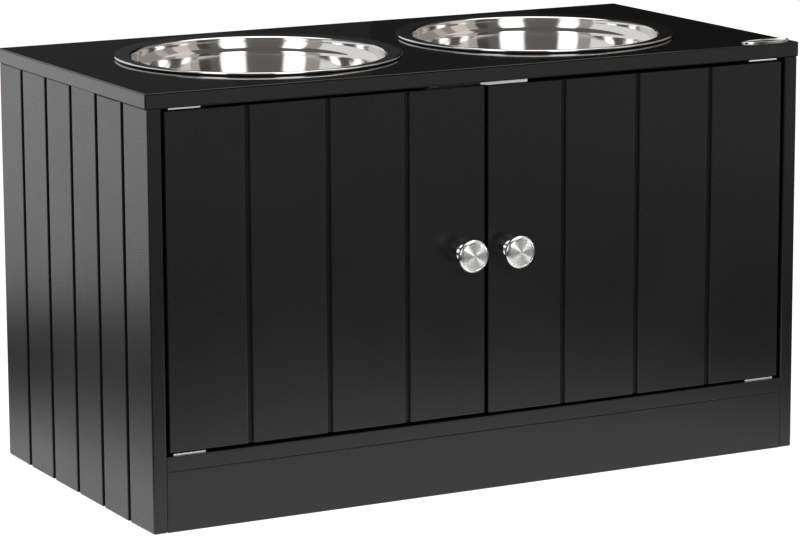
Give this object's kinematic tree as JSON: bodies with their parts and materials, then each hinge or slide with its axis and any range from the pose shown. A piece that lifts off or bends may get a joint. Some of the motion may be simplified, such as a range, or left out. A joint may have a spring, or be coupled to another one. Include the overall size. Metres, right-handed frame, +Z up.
{
  "type": "raised dog feeder with cupboard",
  "caption": "Low black cupboard with doors, turned knobs and pivot hinges, whose top holds stainless steel bowls for a dog at standing height.",
  "frame": {"origin": "On the floor, in the middle of the whole width and of the whole depth with the knobs.", "axes": "X to the right when looking at the doors, Y from the doors to the back, Z up."},
  "size_m": [0.61, 0.3244, 0.3571],
  "materials": {
    "painted_board": "satin black paint on fibreboard",
    "hardboard": "black faced thin hardboard",
    "beech": "plain turned wood",
    "mirror_steel": "mirror polished stainless steel",
    "spun_steel": "satin, spun in circles on the face",
    "hinge_steel": "bright plated",
    "zinc_plated_steel": "zinc plated",
    "blackened_steel": "blackened",
    "polished_plate": "polished, plain field",
    "catch_aluminium": "satin",
    "ferrite": "matt dark grey",
    "nylon": "black"
  },
  "bodies": {
    "cabinet": {"top_panel": "painted_board", "left_side_panel": "painted_board", "right_side_panel": "painted_board", "bottom_shelf": "painted_board", "toe_kick": "painted_board", "rear_rail": "painted_board", "back_panel": "hardboard", "cam_locks": "zinc_plated_steel", "cam_bolts": "zinc_plated_steel", "wooden_dowels": "beech", "back_panel_screws": "zinc_plated_steel", "oval_plate": "polished_plate", "hinge_plates": "hinge_steel", "pivot_pins": "blackened_steel", "hinge_screws": "zinc_plated_steel", "pivot_washers": "nylon", "left_catch_housing": "catch_aluminium", "right_catch_housing": "catch_aluminium", "catch_magnets": "ferrite", "catch_pole_plates": "zinc_plated_steel", "catch_screws": "zinc_plated_steel"},
    "left_door": {"left_door": "painted_board", "left_knob": "spun_steel", "left_knob_screw": "zinc_plated_steel", "left_pivot_sockets": "nylon", "left_strike_plate": "hinge_steel", "left_strike_screw": "zinc_plated_steel"},
    "right_door": {"right_door": "painted_board", "right_knob": "spun_steel", "right_knob_screw": "zinc_plated_steel", "right_pivot_sockets": "nylon", "right_strike_plate": "hinge_steel", "right_strike_screw": "zinc_plated_steel"},
    "left_bowl": {"left_bowl": "mirror_steel"},
    "right_bowl": {"right_bowl": "mirror_steel"}
  },
  "joints": [
    {"name": "left_door_hinge", "type": "hinge", "parent": "cabinet", "child": "left_door", "pos_m": [-0.2801, -0.13575, 0.2], "axis": [0, 0, -1], "range_deg": [0, 110]},
    {"name": "right_door_hinge", "type": "hinge", "parent": "cabinet", "child": "right_door", "pos_m": [0.2801, -0.13575, 0.2], "axis": [0, 0, 1], "range_deg": [0, 110]},
    {"name": "left_bowl_lift", "type": "slide", "parent": "cabinet", "child": "left_bowl", "axis": [0, 0, 1], "range_m": [0, 0.1]},
    {"name": "right_bowl_lift", "type": "slide", "parent": "cabinet", "child": "right_bowl", "axis": [0, 0, 1], "range_m": [0, 0.1]}
  ]
}
